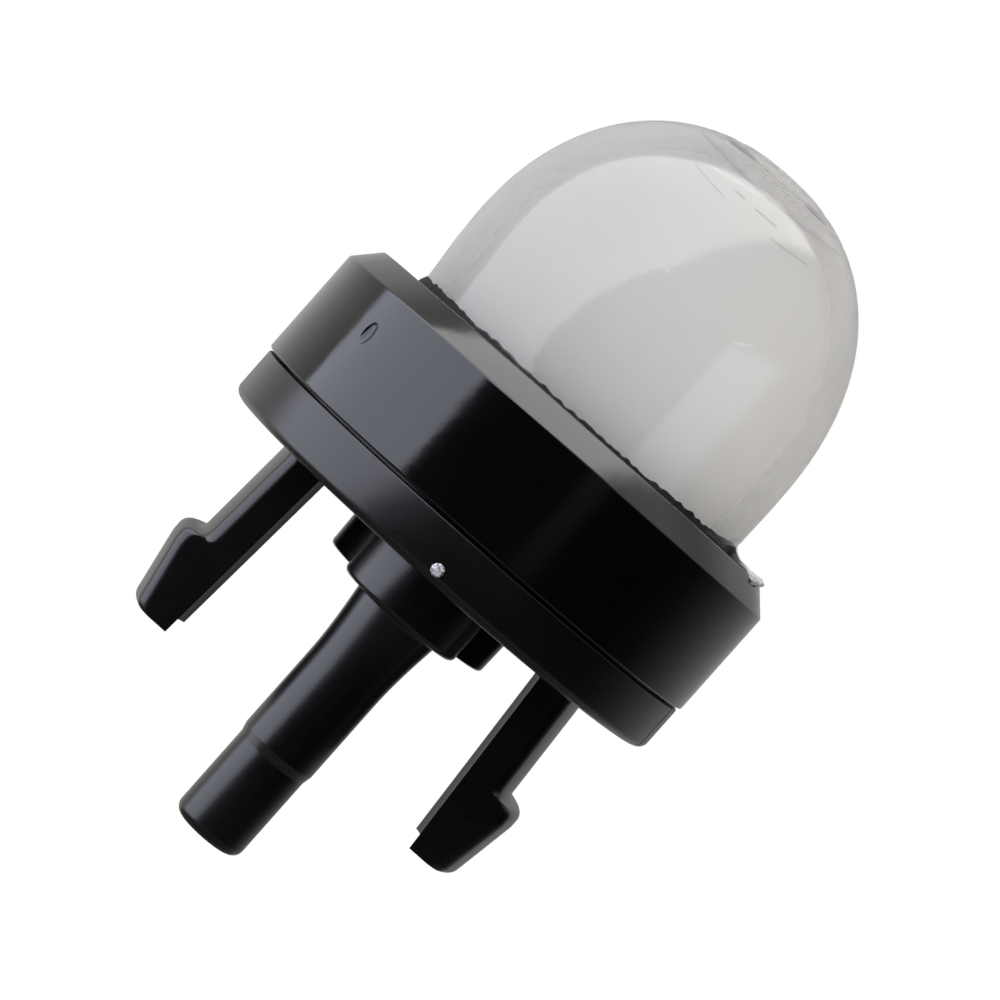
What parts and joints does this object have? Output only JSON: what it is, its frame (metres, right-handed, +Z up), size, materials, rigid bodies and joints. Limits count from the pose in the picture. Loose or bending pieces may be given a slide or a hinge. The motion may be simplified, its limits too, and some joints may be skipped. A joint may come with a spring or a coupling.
{
  "type": "primer bulb",
  "caption": "Snap-in fuel primer bulb: a milky squeeze dome clamped by a black ring on a round base, with snap legs and hose nipples below.",
  "frame": {"origin": "centre of the base rim's underside, in the plane of the panel that it snaps into", "axes": "+Z up the dome's axis, +X through one snap leg, -Y through the long nipple"},
  "size_m": [0.0222, 0.0222, 0.0351],
  "materials": {
    "base_nylon": "black moulded nylon, semi-gloss",
    "cap_nylon": "black moulded nylon, semi-gloss",
    "bulb_elastomer": "milky translucent elastomer, smooth",
    "valve_rubber": "black fuel-proof rubber, matt"
  },
  "bodies": {
    "root": {"base": "base_nylon", "check_valve": "valve_rubber", "bulb": "bulb_elastomer", "retaining_cap": "cap_nylon"}
  },
  "joints": []
}
